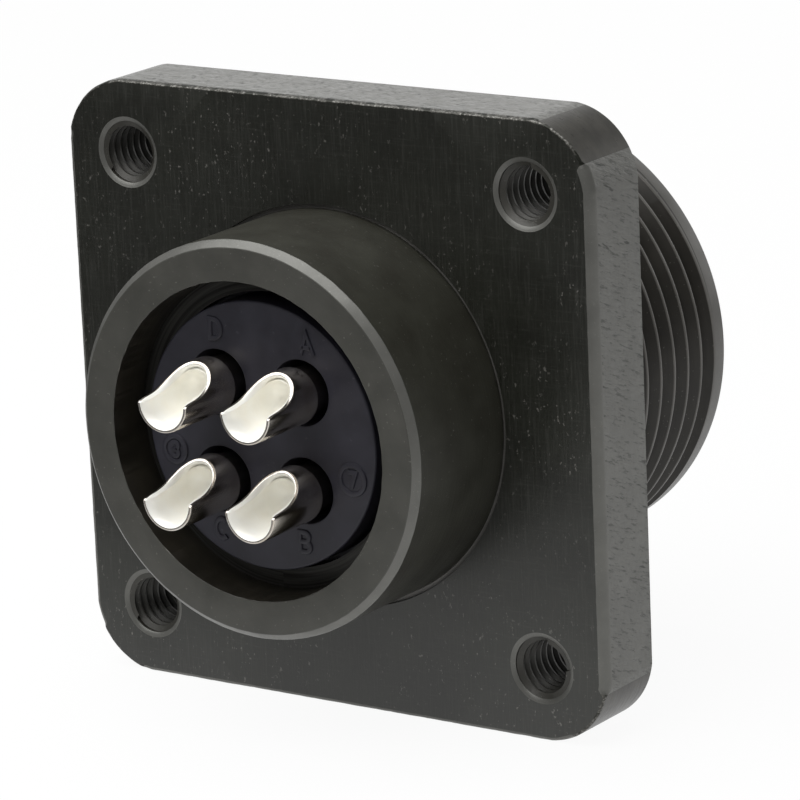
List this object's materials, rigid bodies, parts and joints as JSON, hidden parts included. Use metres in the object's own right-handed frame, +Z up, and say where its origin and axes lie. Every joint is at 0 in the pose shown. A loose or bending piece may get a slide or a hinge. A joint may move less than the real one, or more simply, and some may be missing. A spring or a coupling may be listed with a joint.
{
  "type": "square-flange circular connector receptacle",
  "caption": "Circular electrical receptacle with a square mounting flange, threaded coupling barrel, pin contacts in front and scooped solder cups behind.",
  "frame": {"origin": "centre of the mounting-hole pattern, halfway through the flange", "axes": "+Y along the contacts towards the coupling thread and the mating plug, -Y towards the solder cups, +Z up to the polarising key, +X to the right as seen from the solder cups"},
  "size_m": [0.0302, 0.0289, 0.0302],
  "materials": {
    "shell": "dark olive conversion coat over machined aluminium, satin, with turning marks",
    "insert": "moulded thermoset, dark blue grey, matt",
    "ring": "spring steel, darkened",
    "contact": "silver plated brass, bright in the cups and satin outside"
  },
  "bodies": {
    "root": {"shell": "shell", "rear_insert": "insert", "front_insert": "insert", "retaining_ring": "ring", "contact_a": "contact", "contact_b": "contact", "contact_c": "contact", "contact_d": "contact"}
  },
  "joints": []
}
